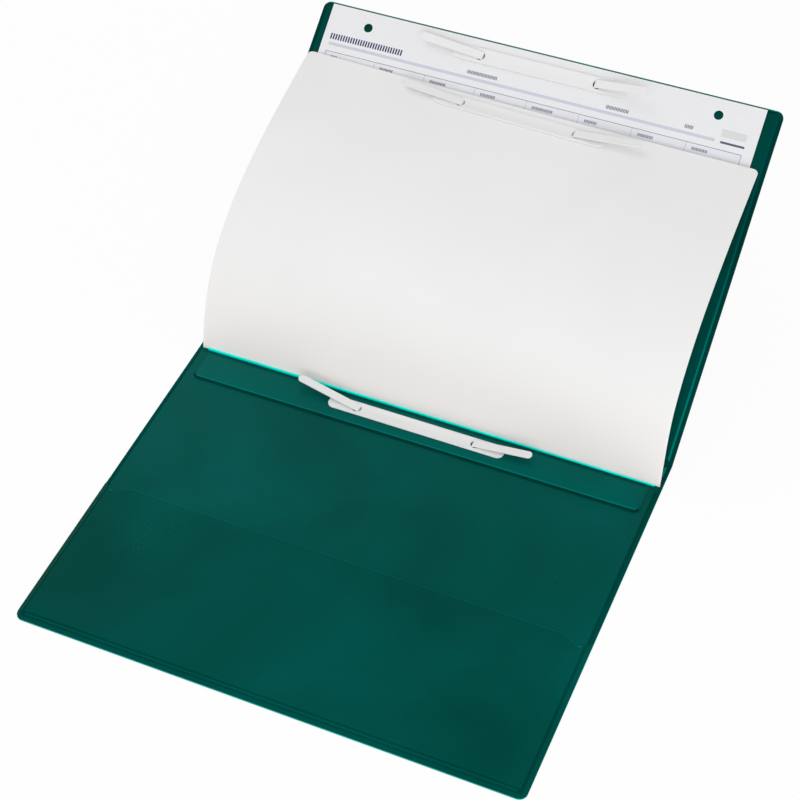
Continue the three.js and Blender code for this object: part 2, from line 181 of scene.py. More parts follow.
# Edges and faces are told apart by their place to within a hair
HAIR = 0.01 * MM
FILM_COLOUR = ((0.0, 0.062, 0.047), (0.0, 0.092, 0.08))
FILM_RIM_COLOUR = ((0.0, 0.056, 0.043), (0.0, 0.078, 0.066))
# Painted highlight: the ridge colour is lighter than the film, for light caught on rounded ridges
FILM_RIDGE_HIGHLIGHT_COLOUR = ((0.0, 0.13, 0.11), (0.0, 0.2, 0.17))
# Painted highlight on the upper cover's ridge, brightest next to the hinge
UPPER_RIDGE_HIGHLIGHT_COLOUR = ((0.0, 0.2, 0.17), (0.0, 0.32, 0.28))
# Painted highlights along the covers' outer edges, lighter on the lower cover than on the upper
FILM_EDGE_HIGHLIGHT_COLOUR = ((0.0, 0.3, 0.25), (0.0, 0.42, 0.36))
UPPER_EDGE_HIGHLIGHT_COLOUR = ((0.0, 0.17, 0.13), (0.0, 0.25, 0.2))
FILM_SHEEN = (0.02, 0.85, 0.75, 1)
FILM_SPECULAR = 0.07
# Specks of dust, painted pale as small glints
DUST_GLINT_COLOUR = (0.0, 0.3, 0.25)
CLING_COLOUR = (0.0, 0.12, 0.1)
CLING_SHARE = 0.42
CLING_NEAR = 5 * MM
CLING_FAR = 34 * MM


def deselect_all():
    bpy.ops.object.select_all(action="DESELECT")


def choose(piece, kind, test):
    """Selects the vertices, edges or faces of a piece in edit mode that pass the test."""
    bpy.ops.mesh.select_mode(type=kind)
    bpy.ops.mesh.select_all(action="DESELECT")
    shape = bmesh.from_edit_mesh(piece.data)
    parts = {"VERT": shape.verts, "EDGE": shape.edges, "FACE": shape.faces}[kind]
    for part in parts:
        if test(part):
            part.select_set(True)
    shape.select_flush_mode()
    bmesh.update_edit_mesh(piece.data)


def middle(part):
    return sum((vertex.co for vertex in part.verts), Vector()) / len(part.verts)


def upright(edge):
    run = edge.verts[1].co - edge.verts[0].co
    return abs(run.z) > 0.99 * run.length


def cut(places, direction):
    """Cuts the piece in edit mode by planes that stand at these places across a direction."""
    for place in places:
        bpy.ops.mesh.select_all(action="SELECT")
        bpy.ops.mesh.bisect(plane_co=Vector(direction) * place, plane_no=direction)


def evenly(start, end, count):
    return [start + (end - start) * step / (count - 1) for step in range(count)]


def sharp(edge, degrees=30):
    return len(edge.link_faces) == 2 and edge.calc_face_angle() > math.radians(degrees)


def block(name, low, high):
    """A box between two corners, as the first block that a piece is shaped from, left in edit mode."""
    deselect_all()
    low, high = Vector(low), Vector(high)
    bpy.ops.mesh.primitive_cube_add(size=1, location=(low + high) / 2)
    piece = bpy.context.object
    piece.name = name
    piece.scale = high - low
    bpy.ops.object.transform_apply(location=True, rotation=True, scale=True)
    bpy.ops.object.mode_set(mode="EDIT")
    return piece


def smooth(degrees=30):
    bpy.ops.object.mode_set(mode="OBJECT")
    bpy.ops.object.shade_smooth_by_angle(angle=math.radians(degrees))


def noise(tree, place, scale, detail, distortion=0.0):
    texture = tree.nodes.new("ShaderNodeTexNoise")
    texture.inputs["Scale"].default_value = scale
    texture.inputs["Detail"].default_value = detail
    texture.inputs["Distortion"].default_value = distortion
    tree.links.new(place, texture.inputs["Vector"])
    return texture.outputs["Fac"]


def remap(tree, value, low, high, to_low, to_high):
    node = tree.nodes.new("ShaderNodeMapRange")
    node.inputs["From Min"].default_value = low
    node.inputs["From Max"].default_value = high
    node.inputs["To Min"].default_value = to_low
    node.inputs["To Max"].default_value = to_high
    tree.links.new(value, node.inputs["Value"])
    return node.outputs["Result"]


def blend_colours(tree, factor, first, second):
    node = tree.nodes.new("ShaderNodeMix")
    node.data_type = "RGBA"
    tree.links.new(factor, node.inputs["Factor"])
    for socket, colour in (("A", first), ("B", second)):
        target = next(s for s in node.inputs if s.name == socket and s.type == "RGBA")
        if isinstance(colour, tuple):
            target.default_value = (*colour, 1)
        else:
            tree.links.new(colour, target)
    return next(s for s in node.outputs if s.type == "RGBA")


def raise_by(tree, height, distance, below=None):
    bump = tree.nodes.new("ShaderNodeBump")
    bump.inputs["Strength"].default_value = 1
    bump.inputs["Distance"].default_value = distance
    tree.links.new(height, bump.inputs["Height"])
    if below is not None:
        tree.links.new(below, bump.inputs["Normal"])
    return bump.outputs["Normal"]


def vinyl(name, colours, roughness, wave, grain, fade=None, cling=None, specular=FILM_SPECULAR):
    """Coloured vinyl film, with broad soft waves, a fine grain and a few specks of dust painted pale as
    glints.

    fade is painted shade along y: the first y, the last y and the share of the colour that is left
    there.
    cling is a spot around which the film clings to what lies under it, in fine specks.
    """
    finish = bpy.data.materials.new(name)
    finish.use_nodes = True
    tree = finish.node_tree
    shader = tree.nodes["Principled BSDF"]
    place = tree.nodes.new("ShaderNodeTexCoord").outputs["Object"]
    cloud = remap(tree, noise(tree, place, 9, 3, 0.6), 0.3, 0.7, 0, 1)
    colour = blend_colours(tree, cloud, *colours)
    if cling is not None:
        grit = remap(tree, noise(tree, place, 900, 2), 0.48, 0.6, 0, 1)
        away = tree.nodes.new("ShaderNodeVectorMath")
        away.operation = "DISTANCE"
        away.inputs[1].default_value = cling
        tree.links.new(place, away.inputs[0])
        patch = remap(tree, away.outputs["Value"], CLING_NEAR, CLING_FAR, CLING_SHARE, 0)
        speckle = tree.nodes.new("ShaderNodeMath")
        speckle.operation = "MULTIPLY"
        tree.links.new(grit, speckle.inputs[0])
        tree.links.new(patch, speckle.inputs[1])
        colour = blend_colours(tree, speckle.outputs[0], colour, CLING_COLOUR)
    if fade is not None:
        split = tree.nodes.new("ShaderNodeSeparateXYZ")
        tree.links.new(place, split.inputs[0])
        first_y, last_y, share_left = fade
        weaker = remap(tree, split.outputs["Y"], first_y, last_y, 0, 1 - share_left)
        colour = blend_colours(tree, weaker, colour, (0.0, 0.0, 0.0))
    # Dust specks, painted pale as glints
    specks = tree.nodes.new("ShaderNodeTexVoronoi")
    specks.inputs["Scale"].default_value = 28
    tree.links.new(place, specks.inputs["Vector"])
    dust = remap(tree, specks.outputs["Distance"], 0.006, 0.011, 1, 0)
    colour = blend_colours(tree, dust, colour, DUST_GLINT_COLOUR)
    tree.links.new(colour, shader.inputs["Base Color"])
    fine = noise(tree, place, 420, 4)
    rough = remap(tree, fine, 0.3, 0.7, roughness - 0.05, roughness + 0.07)
    tree.links.new(rough, shader.inputs["Roughness"])
    broad = raise_by(tree, noise(tree, place, 14, 2, 0.3), wave)
    tree.links.new(raise_by(tree, fine, grain, broad), shader.inputs["Normal"])
    shader.inputs["Specular IOR Level"].default_value = specular
    shader.inputs["Specular Tint"].default_value = FILM_SHEEN
    return finish


def give_faces(piece, finish, test):
    """Gives a further finish to the faces of a piece that pass the test."""
    piece.data.materials.append(finish)
    for face in piece.data.polygons:
        if test(face):
            face.material_index = len(piece.data.materials) - 1


cover_film = vinyl("green_cover_film", FILM_COLOUR, 0.42, 1.2 * MM, 0.012 * MM)
pressed_rim = vinyl("green_pressed_rim", FILM_RIM_COLOUR, 0.36, 0.8 * MM, 0.008 * MM, specular=0)
painted_ridge_highlight = vinyl("green_stretched_ridge", FILM_RIDGE_HIGHLIGHT_COLOUR, 0.3, 0.6 * MM, 0.006 * MM)
painted_edge_highlight = vinyl("green_cut_edge", FILM_EDGE_HIGHLIGHT_COLOUR, 0.4, 0.4 * MM, 0.006 * MM, specular=0)
upper_painted_edge_highlight = vinyl("green_upper_edge", UPPER_EDGE_HIGHLIGHT_COLOUR, 0.4, 0.4 * MM, 0.006 * MM, specular=0)
# Painted shade: the upper cover is darker toward its far edge, and the painted highlight on its ridge
# fades out there
FADE_START = 30 * MM
FADE_END = 130 * MM
cover_painted_shade = (rear_hinge.y + FADE_START, rear_hinge.y + FADE_END, 0.68)
ridge_highlight_falloff = (rear_hinge.y, rear_hinge.y + FADE_END, 0.3)
upper_film = vinyl("green_upper_film", FILM_COLOUR, 0.42, 1.2 * MM, 0.012 * MM, cover_painted_shade)
upper_rim = vinyl(
    "green_upper_rim", FILM_RIM_COLOUR, 0.36, 0.8 * MM, 0.008 * MM, cover_painted_shade, specular=0
)
# The upper cover's ridge takes a painted highlight, which fades out toward its far edge
upper_ridge_highlight = vinyl(
    "green_upper_ridge", UPPER_RIDGE_HIGHLIGHT_COLOUR, 0.3, 0.6 * MM, 0.006 * MM, ridge_highlight_falloff, specular=0
)


def cover_skin(name, film, rim, ridge, edge_highlight_film):
    """A flat skin: its hinge line at y = 0, the cover beyond it and half of the spine before it."""
    half = cover_width / 2
    spine_cut = -hinge_pitch / 2 + HAIR
    inner_half = half - RIM_WIDTH
    far_panel = cover_depth - RIM_WIDTH
    skin = block(name, (-half, -hinge_pitch / 2, 0), (half, cover_depth, flange_top))
    choose(skin, "EDGE", lambda edge: upright(edge) and middle(edge).y > 0)
    bpy.ops.mesh.bevel(offset=COVER_CORNER, segments=8, affect="EDGES")
    cut((-inner_half, inner_half), (1, 0, 0))
    cut((-SPINE_GROOVE_HALF, GROOVE_HALF, far_panel, cover_depth - EDGE_WIDTH), (0, 1, 0))

    def on_panel(face):
        spot = middle(face)
        in_groove = -SPINE_GROOVE_HALF < spot.y < GROOVE_HALF
        in_rim = abs(spot.x) < inner_half and spot.y < far_panel
        return face.normal.z > 0.9 and in_rim and not in_groove

    choose(skin, "FACE", on_panel)
    rise = panel_top - flange_top
    bpy.ops.mesh.extrude_region_move(TRANSFORM_OT_translate={"value": (0, 0, rise)})
    choose(skin, "EDGE", lambda edge: (
        upright(edge) and middle(edge).z > flange_top and middle(edge).y > far_panel - 1 * MM
    ))
    bpy.ops.mesh.bevel(offset=PANEL_CORNER, segments=7, affect="EDGES")
    choose(skin, "EDGE", lambda edge: (
        sharp(edge) and not upright(edge) and middle(edge).z > panel_top - HAIR
        and middle(edge).y > spine_cut
    ))
    bpy.ops.mesh.bevel(offset=PANEL_ROUNDING, segments=4, affect="EDGES")
    choose(skin, "EDGE", lambda edge: (
        sharp(edge) and abs(middle(edge).z - flange_top) < HAIR
        and abs(middle(edge).x) < inner_half + 0.1 * MM and middle(edge).y < far_panel + 0.1 * MM
        and middle(edge).y > spine_cut
    ))
    bpy.ops.mesh.bevel(offset=PANEL_FOOT_ROUNDING, segments=2, affect="EDGES")
    choose(skin, "EDGE", lambda edge: (
        sharp(edge, 60) and not upright(edge) and middle(edge).y > spine_cut
        and (abs(middle(edge).x) > half - COVER_CORNER or middle(edge).y > far_panel + 1 * MM)
    ))
    bpy.ops.mesh.bevel(offset=EDGE_ROUNDING, segments=2, affect="EDGES")
    cut(evenly(-FOLD_HALF, FOLD_HALF, FOLD_CUTS), (0, 1, 0))
    smooth()
    skin.data.materials.append(film)

    def beyond_panel(spot):
        return abs(spot.x) > inner_half + 0.05 * MM or spot.y > far_panel + 0.05 * MM

    def on_ridge(face):
        near_edge = abs(face.center.x) > inner_half - 1 * MM or face.center.y > far_panel - 1 * MM
        return near_edge and face.center.z > flange_top + 0.05 * MM and face.normal.z < 0.97

    give_faces(skin, rim, lambda face: beyond_panel(face.center) and face.normal.z > 0.5)
    give_faces(skin, ridge, on_ridge)
    # The outermost strip of the rim and the side faces are painted lighter, as a highlight along the
    # edge
    give_faces(skin, edge_highlight_film, lambda face: (
        face.center.y > cover_depth - EDGE_WIDTH and face.normal.z > -0.5
    ))
    give_faces(skin, edge_highlight_film, lambda face: (
        beyond_panel(face.center) and abs(face.normal.z) < 0.4 and face.normal.y > -0.99
    ))
    return skin


def eased(share):
    share = min(max(share, 0), 1)
    return share * share * (3 - 2 * share)


def carve(piece, cutter, operation="DIFFERENCE"):
    """Cuts a closed shape out of a piece, or joins it on, and takes the shape away."""
    change = piece.modifiers.new("change", "BOOLEAN")
    change.operation = operation
    change.object = cutter
    deselect_all()
    piece.select_set(True)
    bpy.context.view_layer.objects.active = piece
    bpy.ops.object.modifier_apply(modifier=change.name)
    bpy.data.objects.remove(cutter)


def carve_slots(piece, x, y, z):
    """Two narrow slots that a fastener's tongues come through, cut down from above z."""
    for side in (-1, 1):
        middle_x = x + side * (PUNCH_PITCH / 2 - ROOT_SHIFT)
        low = (middle_x - SLOT_LENGTH / 2, y - SLOT_WIDTH / 2, z - SLOT_DEPTH)
        slot = block("slot", low, (middle_x + SLOT_LENGTH / 2, y + SLOT_WIDTH / 2, z + 2 * MM))
        bpy.ops.object.mode_set(mode="OBJECT")
        carve(piece, slot)


PUNCH_RADIUS = 3 * MM
PUNCH_PITCH = 80 * MM
ROOT_SHIFT = 1.6 * MM
SLOT_LENGTH = 1.3 * MM
SLOT_WIDTH = 5 * MM
SLOT_DEPTH = 0.9 * MM
SHEET_X = -1.5 * MM
SHEET_TOP = cover_depth - 1.9 * MM
PUNCH_LINE = SHEET_TOP - 10.6 * MM
RIDGE_HALF_LENGTH = 52.65 * MM
RIDGE_HALF_WIDTH = 5.15 * MM
RIDGE_RISE = 0.85 * MM
RIDGE_CORNER = 2.6 * MM
RIDGE_ROUNDING = 0.5 * MM

lower_skin = cover_skin("lower_cover_skin", cover_film, pressed_rim, pressed_rim, painted_edge_highlight)
lower_skin.data.transform(Matrix.Translation((0, front_hinge.y, 0)) @ Matrix.Rotation(math.pi, 4, "Z"))
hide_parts("lower_outer_film", "lower_inner_film", "spine_outer_film", "spine_inner_film")
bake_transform(lower_skin)

upper_skin = cover_skin("upper_cover_skin", upper_film, upper_rim, upper_ridge_highlight, upper_painted_edge_highlight)
# The film runs over the upper fastener's base strip as a low ridge under the form sheet
ridge = block(
    "ridge",
    (SHEET_X - RIDGE_HALF_LENGTH, PUNCH_LINE - RIDGE_HALF_WIDTH, panel_top - 0.5 * MM),
    (SHEET_X + RIDGE_HALF_LENGTH, PUNCH_LINE + RIDGE_HALF_WIDTH, panel_top + RIDGE_RISE),
)
choose(ridge, "EDGE", upright)
bpy.ops.mesh.bevel(offset=RIDGE_CORNER, segments=4, affect="EDGES")
choose(ridge, "EDGE", lambda edge: sharp(edge) and middle(edge).z > panel_top + RIDGE_RISE - HAIR)
bpy.ops.mesh.bevel(offset=RIDGE_ROUNDING, segments=3, affect="EDGES")
bpy.ops.object.mode_set(mode="OBJECT")
carve(upper_skin, ridge, "UNION")
carve_slots(upper_skin, SHEET_X, PUNCH_LINE, panel_top + RIDGE_RISE)
bpy.ops.object.shade_smooth_by_angle(angle=math.radians(30))
for vertex in upper_skin.data.vertices:
    vertex.co += Vector((0, rear_hinge.y, 0))
    bent = eased((vertex.co.y - rear_hinge.y + FOLD_HALF) / (2 * FOLD_HALF))
    vertex.co = rear_hinge + Matrix.Rotation(bent * slant, 3, "X") @ (vertex.co - rear_hinge)
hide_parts("upper_outer_film", "upper_inner_film")
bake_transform(upper_skin)

# The boards: stiff grey board, sealed inside the skins, so they never show.
# They keep the CAD's own shape.
BOARD_COLOUR = ((0.2, 0.175, 0.14), (0.34, 0.31, 0.26))
board_finish = bpy.data.materials.new("grey_board")
board_finish.use_nodes = True
board_tree = board_finish.node_tree
board_shader = board_tree.nodes["Principled BSDF"]
board_place = board_tree.nodes.new("ShaderNodeTexCoord").outputs["Object"]
fibres = noise(board_tree, board_place, 900, 5)
board_colour = blend_colours(board_tree, fibres, *BOARD_COLOUR)
board_tree.links.new(board_colour, board_shader.inputs["Base Color"])
board_tree.links.new(raise_by(board_tree, fibres, 0.05 * MM), board_shader.inputs["Normal"])
board_shader.inputs["Roughness"].default_value = 0.95
for board in ("lower_board", "spine_board", "upper_board"):
    frame["nodes"][board].data.materials.clear()
    frame["nodes"][board].data.materials.append(board_finish)

# The pocket: a smooth translucent film over the front half of the lower cover, welded on three sides.
# Its open edge is straight, with a shallow notch near each end, and stands a little off the cover.
POCKET_FILM = 0.4 * MM
POCKET_EDGE = 123.2 * MM
NOTCH_DEPTH = 5.2 * MM
NOTCH_INSET = 7 * MM
NOTCH_HALF = 12 * MM
POCKET_COLUMNS = 220
POCKET_ROWS = 60
POCKET_LIP = 0.35 * MM
POCKET_WELD = 2.5 * MM
POCKET_CLIMB = 1.2 * MM
POCKET_COLOUR = ((0.0, 0.054, 0.041), (0.0, 0.082, 0.07))
# Painted highlight along the pocket's open lip
POCKET_LIP_HIGHLIGHT_COLOUR = ((0.0, 0.16, 0.135), (0.0, 0.26, 0.22))
# Painted shade on the slopes where the pocket film climbs over its weld
POCKET_SLOPE_SHADE_COLOUR = ((0.0, 0.042, 0.032), (0.0, 0.064, 0.053))
CLING_SPOT = (-113 * MM, -32 * MM, panel_top)
LAYER_GAP = 0.15 * MM
SHEET_ROUNDING = 0.12 * MM
TO_FIRST_FINISH = -9


def notch(x):
    """How far the pocket's open edge falls back at x."""
    side = cover_width / 2 - abs(x)
    if side < NOTCH_INSET:
        return NOTCH_DEPTH * eased(side / NOTCH_INSET)
    return NOTCH_DEPTH * eased(1 - (side - NOTCH_INSET) / NOTCH_HALF)


def open_edge(x):
    """Where the pocket's open edge runs at x."""
    return front_hinge.y - POCKET_EDGE - notch(x)


def over_panel(x, y, inset, climb, low, high):
    """The height of a film that climbs from the rim's level to the panel's beside the welded edges."""
    corner = PANEL_CORNER + 1 * MM
    across = max(abs(x) - (cover_width / 2 - inset - corner), 0)
    along = max((front_hinge.y - y) - (cover_depth - inset - corner), 0)
    reach = corner - math.hypot(across, along)
    return low + (high - low) * eased(reach / climb)


def toward_far_edge(share):
    """Draws the rows of a grid together toward its far edge, where its outline turns."""
    return 1 - (1 - share) ** 1.5


def sheet_grid(name, columns, rows):
    """A flat grid from 0 to 1 each way, the first shape of a film or sheet."""
    deselect_all()
    bpy.ops.mesh.primitive_grid_add(
        x_subdivisions=columns, y_subdivisions=rows, size=1, location=(0.5, 0.5, 0)
    )
    bpy.ops.object.transform_apply(location=True)
    piece = bpy.context.object
    piece.name = name
    return piece


def thicken(piece, thickness, edge, offset):
    """Gives a sheet its thickness and a soft edge. Offset 1 grows it to the side its faces look at."""
    deselect_all()
    piece.select_set(True)
    bpy.context.view_layer.objects.active = piece
    wall = piece.modifiers.new("wall", "SOLIDIFY")
    wall.thickness = thickness
    wall.offset = offset
    # The far side and the rim take the sheet's first finish
    wall.material_offset = TO_FIRST_FINISH
    wall.material_offset_rim = TO_FIRST_FINISH
    bpy.ops.object.modifier_apply(modifier=wall.name)
    if edge:
        soft = piece.modifiers.new("soft_edge", "BEVEL")
        soft.width = edge
        soft.segments = 2
        soft.limit_method = "ANGLE"
        soft.angle_limit = math.radians(60)
        bpy.ops.object.modifier_apply(modifier=soft.name)
    bpy.ops.object.shade_smooth_by_angle(angle=math.radians(35))


pocket = sheet_grid("pocket_skin", POCKET_COLUMNS, POCKET_ROWS)
pocket_low = flange_top + LAYER_GAP
pocket_high = panel_top + LAYER_GAP
outer = front_hinge.y - cover_depth
for vertex in pocket.data.vertices:
    x = (vertex.co.x - 0.5) * cover_width
    y = outer + (open_edge(x) - outer) * toward_far_edge(vertex.co.y)
    from_corner = (
        max(abs(x) - (cover_width / 2 - COVER_CORNER), 0),
        max(outer + COVER_CORNER - y, 0),
    )
    past = math.hypot(*from_corner)
    if past > COVER_CORNER:
        x -= math.copysign(from_corner[0] * (1 - COVER_CORNER / past), x)
        y += from_corner[1] * (1 - COVER_CORNER / past)
    z = over_panel(x, y, POCKET_WELD, POCKET_CLIMB, pocket_low, pocket_high)
    vertex.co = (x, y, z)
thicken(pocket, POCKET_FILM, SHEET_ROUNDING, 1)
pocket.data.materials.append(
    vinyl("clear_pocket_film", POCKET_COLOUR, 0.33, 1.6 * MM, 0.006 * MM, cling=CLING_SPOT)
)
pocket_lip_highlight = vinyl("clear_pocket_lip", POCKET_LIP_HIGHLIGHT_COLOUR, 0.33, 0.4 * MM, 0.006 * MM, specular=0)
pocket_slope_shade = vinyl("clear_pocket_weld", POCKET_SLOPE_SHADE_COLOUR, 0.33, 0.4 * MM, 0.006 * MM, specular=0)
# The slopes where the film climbs over the weld are painted darker, as shade
give_faces(pocket, pocket_slope_shade, lambda face: 0.3 < face.normal.z < 0.96)
# The open edge is painted lighter, as a highlight along the lip
give_faces(pocket, pocket_lip_highlight, lambda face: (
    face.normal.z > -0.5 and face.center.y > open_edge(face.center.x) - POCKET_LIP
))
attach(pocket, "lower_cover")
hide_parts("pocket_film")

# The filing strip: a smooth film panel welded along its rim to the lower cover, next to the hinge.
# It holds down a fastener's base strip, whose tongues come up through two narrow slots.
STRIP_LEFT = -148.7 * MM
STRIP_RIGHT = 150.3 * MM
STRIP_HINGE_GAP = 3 * MM
STRIP_DEPTH_LEFT = 22.5 * MM
STRIP_DEPTH_RIGHT = 21.2 * MM
STRIP_CORNER = 3.5 * MM
STRIP_FILM = 0.4 * MM
STRIP_WELD = 1.5 * MM
STRIP_ROUNDING = 0.75 * MM
STRIP_FRONT = 12 * MM
STRIP_COLOUR = ((0.0, 0.085, 0.069), (0.0, 0.112, 0.095))
# Painted shade on the weld flange in front of the strip's ridge
STRIP_WELD_SHADE_COLOUR = ((0.0, 0.028, 0.021), (0.0, 0.04, 0.031))
LOWER_FASTENER_X = 1 * MM
LOWER_FASTENER_DISTANCE = 12 * MM
strip_low = panel_top + LAYER_GAP
strip_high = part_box("filing_strip_film")[1].z


def punch(piece, spots, turn=0):
    """Punches round holes through a piece at these spots, along a direction that leans back by turn."""
    for spot in spots:
        deselect_all()
        bpy.ops.mesh.primitive_cylinder_add(
            vertices=32, radius=PUNCH_RADIUS, depth=6 * MM, location=spot, rotation=(turn, 0, 0)
        )
        carve(piece, bpy.context.object)


strip_back = front_hinge.y - STRIP_HINGE_GAP
strip = block(
    "filing_strip_skin",
    (STRIP_LEFT, strip_back - STRIP_DEPTH_LEFT, strip_low),
    (STRIP_RIGHT, strip_back, strip_low + STRIP_FILM),
)
choose(strip, "VERT", lambda vertex: vertex.co.x > 0 and vertex.co.y < strip_back - 1 * MM)
bpy.ops.transform.translate(value=(0, STRIP_DEPTH_LEFT - STRIP_DEPTH_RIGHT, 0))
choose(strip, "EDGE", lambda edge: upright(edge) and middle(edge).y < strip_back - 1 * MM)
bpy.ops.mesh.bevel(offset=STRIP_CORNER, segments=8, affect="EDGES")
choose(strip, "FACE", lambda face: face.normal.z > 0.9)
bpy.ops.mesh.inset(thickness=STRIP_WELD, depth=0)
bpy.ops.mesh.extrude_region_move(
    TRANSFORM_OT_translate={"value": (0, 0, strip_high - strip_low - STRIP_FILM)}
)
choose(strip, "EDGE", lambda edge: sharp(edge) and middle(edge).z > strip_high - HAIR)
bpy.ops.mesh.bevel(offset=STRIP_ROUNDING, segments=4, affect="EDGES")
smooth()
strip_finish = vinyl("clear_strip_film", STRIP_COLOUR, 0.3, 0.5 * MM, 0.006 * MM)
strip.data.materials.append(strip_finish)
carve_slots(strip, LOWER_FASTENER_X, front_hinge.y - LOWER_FASTENER_DISTANCE, strip_high)
bpy.ops.object.shade_smooth_by_angle(angle=math.radians(30))
strip_weld_shade = vinyl("clear_strip_weld", STRIP_WELD_SHADE_COLOUR, 0.3, 0.5 * MM, 0.006 * MM)
front_side = strip_back - STRIP_FRONT
# The weld flange in front of the strip's ridge is painted dark, as the shade there
give_faces(strip, strip_weld_shade, lambda face: (
    face.center.z < strip_low + 0.5 * MM and face.center.y < front_side
))
# The strip's front ridge is painted lighter, as a highlight
give_faces(strip, painted_ridge_highlight, lambda face: (
    face.center.z > strip_high - STRIP_ROUNDING + HAIR and face.center.y < front_side
    and 0.05 < face.normal.z < 0.97 and (face.normal.y < -0.1 or abs(face.normal.x) > 0.1)
))
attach(strip, "lower_cover")
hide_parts("filing_strip_film")

# The weld bead: the bright edge of green film along the weld of the divider leaf in the front groove.
# Light gathers in the cut film and leaves it here, so it is far brighter than the covers.
BEAD_TAPER = 0.8 * MM
BEAD_PLACES = 25
BEAD_ROUNDING = 0.3 * MM
BEAD_COLOUR = ((0.0, 0.62, 0.52), (0.0, 0.86, 0.76))
BEAD_GLOW = (0.0, 0.75, 0.63, 1)
BEAD_GLOW_STRENGTH = 0.25
bead_low, bead_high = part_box("leaf_weld_bead")
bead = block("weld_bead", bead_low, bead_high)
choose(bead, "VERT", lambda vertex: vertex.co.x > 0 and vertex.co.z > bead_low.z + 0.1 * MM)
bpy.ops.transform.translate(value=(0, 0, -BEAD_TAPER))
cut(evenly(bead_low.x, bead_high.x, BEAD_PLACES)[1:-1], (1, 0, 0))
choose(bead, "EDGE", sharp)
bpy.ops.mesh.bevel(offset=BEAD_ROUNDING, segments=3, affect="EDGES")
smooth()
bead_finish = bpy.data.materials.new("edge_lit_film")
bead_finish.use_nodes = True
bead_tree = bead_finish.node_tree
bead_shader = bead_tree.nodes["Principled BSDF"]
bead_place = bead_tree.nodes.new("ShaderNodeTexCoord").outputs["Object"]
bead_cloud = remap(bead_tree, noise(bead_tree, bead_place, 30, 2), 0.35, 0.65, 0, 1)
bead_colour = blend_colours(bead_tree, bead_cloud, *BEAD_COLOUR)
bead_tree.links.new(bead_colour, bead_shader.inputs["Base Color"])
bead_shader.inputs["Roughness"].default_value = 0.35
bead_shader.inputs["Specular Tint"].default_value = FILM_SHEEN
bead_shader.inputs["Emission Color"].default_value = BEAD_GLOW
bead_shader.inputs["Emission Strength"].default_value = BEAD_GLOW_STRENGTH
bead.data.materials.append(bead_finish)
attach(bead, "spine")
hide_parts("leaf_weld_bead")

# The form sheet: one A4 sheet of office paper with a pale printed table, filed on the upper cover.
# Four holes are punched along its top edge. The print is made of marks, bars and rules.
SHEET_WIDTH = 297 * MM
SHEET_DEPTH = 210 * MM
SHEET_THICKNESS = 0.2 * MM
SHEET_HEIGHT = panel_top + 1 * MM
SHEET_SETTLE = 0.75 * MM
SHEET_LIFT = 0.5 * MM
SHEET_PLACES = 22
PAPER_INK = {
    "paper": (0.82, 0.822, 0.84),
    "table_fill": (0.785, 0.793, 0.83),
    "band": (0.6, 0.62, 0.71),
    "divider": (0.42, 0.44, 0.5),
    "rule": (0.16, 0.17, 0.25),
    "heading": (0.03, 0.035, 0.13),
    "label": (0.1, 0.105, 0.19),
    "block": (0.69, 0.7, 0.715),
}
# Rows of small marks, in millimetres: left, right, low and high edge, and pitch
LABEL_PITCH = 0.95
HEADING = (-143.6, -89.8, 206.9, 210.9, 1.8)
TOP_LABELS = (
    (-45.4, -24, 206.6, 208.9, LABEL_PITCH),
    (49.7, 65, 206.4, 208.7, LABEL_PITCH),
    (101.7, 108.3, 206.8, 209.1, LABEL_PITCH),
)
MARK_SHARE = 0.58
# Printed bars and the table, in millimetres: left, right, low and high edge
BAND = (-143.3, 122.3, 202.8, 204.8)
BLOCK = (125.2, 141.2, 207, 212)
SMALL_BLOCK = (126, 141.6, 202.8, 204.2)
TABLE_LEFT, TABLE_RIGHT = -143.6, 141.4
TABLE_TOP, TABLE_HEAD, TABLE_END = 198.4, 191, 30
RULE = 0.35
LINE = 0.3
COLUMNS = 8
LABEL_INDENT = 4.5
LABEL_WIDTHS = (5, 10, 12, 11, 15, 9, 11, 11)
LABEL_LOW, LABEL_HIGH = 194.3, 196.2

table_columns = evenly(TABLE_LEFT, TABLE_RIGHT - LINE, COLUMNS + 1)
column_labels = [
    (column + LABEL_INDENT, column + LABEL_INDENT + width, LABEL_LOW, LABEL_HIGH, LABEL_PITCH)
    for column, width in zip(table_columns, LABEL_WIDTHS)
]


def within(value, low, high):
    return low < value < high


def inside(x, v, field):
    return within(x, field[0], field[1]) and within(v, field[2], field[3])


def marks(row):
    """The left and right edge of each small mark in a row."""
    left, right, _, _, pitch = row
    count = int((right - left) / pitch)
    return [(left + pitch * step, left + pitch * (step + MARK_SHARE)) for step in range(count)]


def on_mark(x, v, row):
    return within(v, row[2], row[3]) and any(within(x, *mark) for mark in marks(row))


def ink_at(x, v):
    """The ink at a spot, in millimetres from the sheet's middle and from the rear hinge."""
    if on_mark(x, v, HEADING):
        return "heading"
    if any(on_mark(x, v, row) for row in (*TOP_LABELS, *column_labels)) or inside(x, v, SMALL_BLOCK):
        return "label"
    if inside(x, v, BLOCK):
        return "block"
    if inside(x, v, BAND):
        return "band"
    if not inside(x, v, (TABLE_LEFT, TABLE_RIGHT, TABLE_END, TABLE_TOP + RULE)):
        return "paper"
    if v > TABLE_TOP or v < TABLE_END + LINE or x < TABLE_LEFT + LINE or x > TABLE_RIGHT - LINE:
        return "rule"
    if any(within(x, column, column + LINE) for column in table_columns):
        return "divider"
    return "table_fill" if v > TABLE_HEAD else "paper"


def slanted(x, v, height):
    """A spot over the upper cover: x along its hinge, v from the hinge, height over its outer face."""
    flat = Vector((x, v, height - rear_hinge.z))
    return rear_hinge + Matrix.Rotation(slant, 3, "X") @ flat


